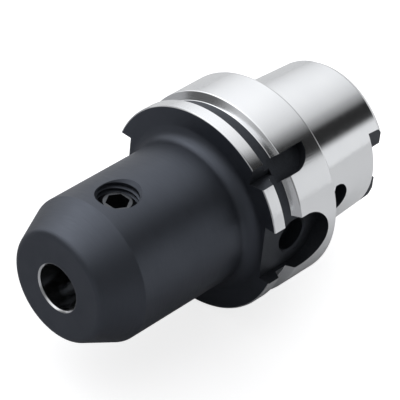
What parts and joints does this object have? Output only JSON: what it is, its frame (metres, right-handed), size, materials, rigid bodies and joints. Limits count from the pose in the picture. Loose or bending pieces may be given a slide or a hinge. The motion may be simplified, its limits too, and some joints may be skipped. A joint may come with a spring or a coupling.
{
  "type": "side-lock end mill holder",
  "caption": "Hollow taper shank tool holder with gripper flange, straight nose, side clamp screw, stop screw and coolant tube.",
  "frame": {"origin": "centre of the flange's contact face, on the axis of the taper", "axes": "+X along the axis into the spindle, so the nose points to -X; +Z out of the clamp screw's hole; the drive keyways face -Y and +Y"},
  "size_m": [0.112, 0.063, 0.063],
  "materials": {
    "holder_steel": "satin blue-black oxide on the nose, ground bright on the flange and taper",
    "screw_steel": "black oxide",
    "tube_steel": "turned bright steel",
    "seal_rubber": "matt moulded rubber"
  },
  "bodies": {
    "holder": {"holder_body": "holder_steel", "coolant_nut": "tube_steel", "o_ring_front": "seal_rubber", "o_ring_rear": "seal_rubber"},
    "clamp_screw": {"clamp_screw": "screw_steel"},
    "stop_screw": {"stop_screw": "screw_steel"},
    "coolant_tube": {"coolant_tube": "tube_steel"}
  },
  "joints": [
    {"name": "clamp_screw_travel", "type": "slide", "parent": "holder", "child": "clamp_screw", "axis": [0, 0, 1], "range_m": [-0.002, 0.006]},
    {"name": "stop_screw_travel", "type": "slide", "parent": "holder", "child": "stop_screw", "axis": [1, 0, 0], "range_m": [-0.004, 0.0065]},
    {"name": "coolant_tube_tilt", "type": "hinge", "parent": "holder", "child": "coolant_tube", "pos_m": [-0.01035, 0, 0], "axis": [0, 1, 0], "range_deg": [-1, 1]}
  ]
}
